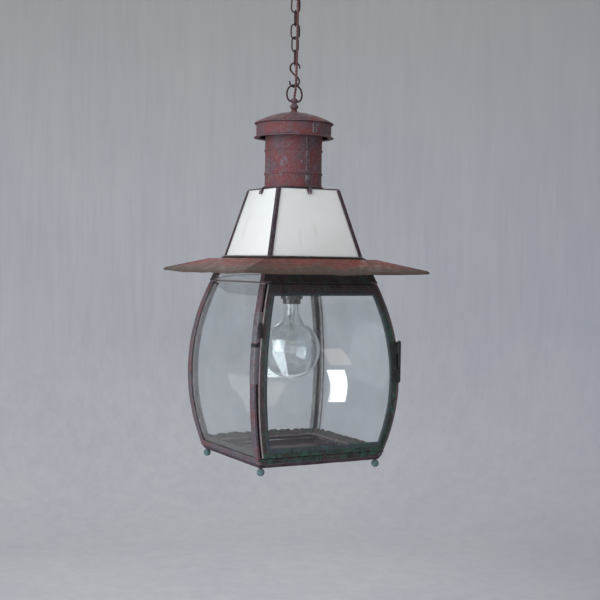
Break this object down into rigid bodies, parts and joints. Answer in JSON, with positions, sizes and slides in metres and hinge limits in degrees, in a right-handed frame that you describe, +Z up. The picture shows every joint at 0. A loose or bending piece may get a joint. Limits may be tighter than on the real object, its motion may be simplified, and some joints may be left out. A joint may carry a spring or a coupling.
{
  "type": "hanging lantern",
  "caption": "Square hanging lantern with bowed clear panes, opal glass roof, wide sloping brim and vented round chimney, on an S-hook and chain.",
  "frame": {"origin": "centre of the ceiling face of the rose plate, where the lantern hangs from", "axes": "+Z up, -Y the door side, +X the door hinge side"},
  "size_m": [0.3232, 0.3232, 0.8406],
  "materials": {
    "red_paint": "worn oxide red paint on copper, chalky",
    "brown_paint": "dark purple brown paint, worn",
    "verdigris": "copper gone green and brown",
    "dark_frame": "tarnished copper, dark, with green edges",
    "lead_grey": "grey solder and lead patina, rough",
    "rusty_iron": "rusty iron wire",
    "pale_copper": "pale blue green patina",
    "brass": "dull brass",
    "bakelite": "black, satin",
    "opal_glass": "milk white, smooth",
    "clear_glass": "old clear sheet glass with slight waves",
    "lamp_glass": "clear thin glass",
    "flex_cloth": "twisted reddish brown braid"
  },
  "bodies": {
    "ceiling": {"ceiling_plate": "rusty_iron", "rose_cover": "brown_paint", "rose_ferrule": "brass", "ceiling_hook": "rusty_iron"},
    "link_1": {"link_1": "rusty_iron"},
    "link_2": {"link_2": "rusty_iron"},
    "link_3": {"link_3": "rusty_iron"},
    "link_4": {"link_4": "rusty_iron"},
    "link_5": {"link_5": "rusty_iron"},
    "link_6": {"link_6": "rusty_iron"},
    "s_hook": {"s_hook": "rusty_iron"},
    "ring": {"hanging_ring": "rusty_iron"},
    "lantern": {"finial": "red_paint", "finial_nut": "brass", "cap_lid": "red_paint", "cap_drum": "red_paint", "vent_strap_1": "brown_paint", "vent_strap_2": "brown_paint", "vent_strap_3": "brown_paint", "chimney_tube": "red_paint", "chimney_plate": "brown_paint", "roof_curb": "brown_paint", "brim": "red_paint", "head_frame": "dark_frame", "base_frame": "verdigris", "base_tray": "brown_paint", "hinge_leaf_post": "rusty_iron", "hinge_pin": "rusty_iron", "latch_rivet": "brass", "lamp_rod": "brass", "lampholder": "bakelite", "lampholder_cap": "bakelite", "shade_ring": "bakelite", "lamp_cap": "brass", "lamp_globe": "lamp_glass", "lamp_stem": "lamp_glass", "pane_right": "clear_glass", "pane_back": "clear_glass", "pane_left": "clear_glass", "flex": "flex_cloth", "opal_pane_front": "opal_glass", "opal_pane_right": "opal_glass", "opal_pane_back": "opal_glass", "opal_pane_left": "opal_glass", "hip_bar_front": "brown_paint", "hip_bar_right": "brown_paint", "hip_bar_back": "brown_paint", "hip_bar_left": "brown_paint", "corner_post_front": "lead_grey", "corner_post_right": "lead_grey", "corner_post_back": "lead_grey", "corner_post_left": "lead_grey", "ball_foot_1": "pale_copper", "ball_foot_2": "pale_copper", "ball_foot_3": "pale_copper", "ball_foot_4": "pale_copper"},
    "door": {"door_frame": "dark_frame", "door_pane": "clear_glass", "hinge_leaf_door": "rusty_iron"},
    "latch": {"latch_button": "rusty_iron"}
  },
  "joints": [
    {"name": "hook_link_swing", "type": "hinge", "parent": "ceiling", "child": "link_1", "pos_m": [0, 0, -0.065], "axis": [1, 0, 0], "range_deg": [-25, 25], "deforming": ["flex"]},
    {"name": "link_1_2_swing", "type": "hinge", "parent": "link_1", "child": "link_2", "pos_m": [0, 0, -0.0855], "axis": [0.5446, 0.8387, 0], "range_deg": [-25, 25], "deforming": ["flex"]},
    {"name": "link_2_3_swing", "type": "hinge", "parent": "link_2", "child": "link_3", "pos_m": [0, 0, -0.1067], "axis": [-0.8829, 0.4695, 0], "range_deg": [-25, 25], "deforming": ["flex"]},
    {"name": "link_3_4_swing", "type": "hinge", "parent": "link_3", "child": "link_4", "pos_m": [0, 0, -0.1279], "axis": [-0.6157, -0.788, 0], "range_deg": [-25, 25], "deforming": ["flex"]},
    {"name": "link_4_5_swing", "type": "hinge", "parent": "link_4", "child": "link_5", "pos_m": [0, 0, -0.1491], "axis": [0.8829, -0.4695, 0], "range_deg": [-25, 25], "deforming": ["flex"]},
    {"name": "link_5_6_swing", "type": "hinge", "parent": "link_5", "child": "link_6", "pos_m": [0, 0, -0.1703], "axis": [-0.9781, -0.2079, 0], "range_deg": [-25, 25], "deforming": ["flex"]},
    {"name": "link_s_hook_swing", "type": "hinge", "parent": "link_6", "child": "s_hook", "pos_m": [0, 0, -0.1915], "axis": [0.5446, 0.8387, 0], "range_deg": [-25, 25], "deforming": ["flex"]},
    {"name": "s_hook_ring_swing", "type": "hinge", "parent": "s_hook", "child": "ring", "pos_m": [0, 0, -0.2276], "axis": [0.6018, -0.7986, 0], "range_deg": [-25, 25], "deforming": ["flex"]},
    {"name": "ring_lantern_rock", "type": "hinge", "parent": "ring", "child": "lantern", "pos_m": [0, 0, -0.25075], "axis": [-1, 0, 0], "range_deg": [-30, 30], "deforming": ["flex"]},
    {"name": "door_swing", "type": "hinge", "parent": "lantern", "child": "door", "pos_m": [0.1255, -0.1324, -0.66855], "axis": [0, 0, 1], "range_deg": [0, 120]},
    {"name": "latch_turn", "type": "hinge", "parent": "lantern", "child": "latch", "pos_m": [-0.11687, -0.12027, -0.61125], "axis": [0, -0.9797, 0.2002], "range_deg": [-90, 90]}
  ]
}
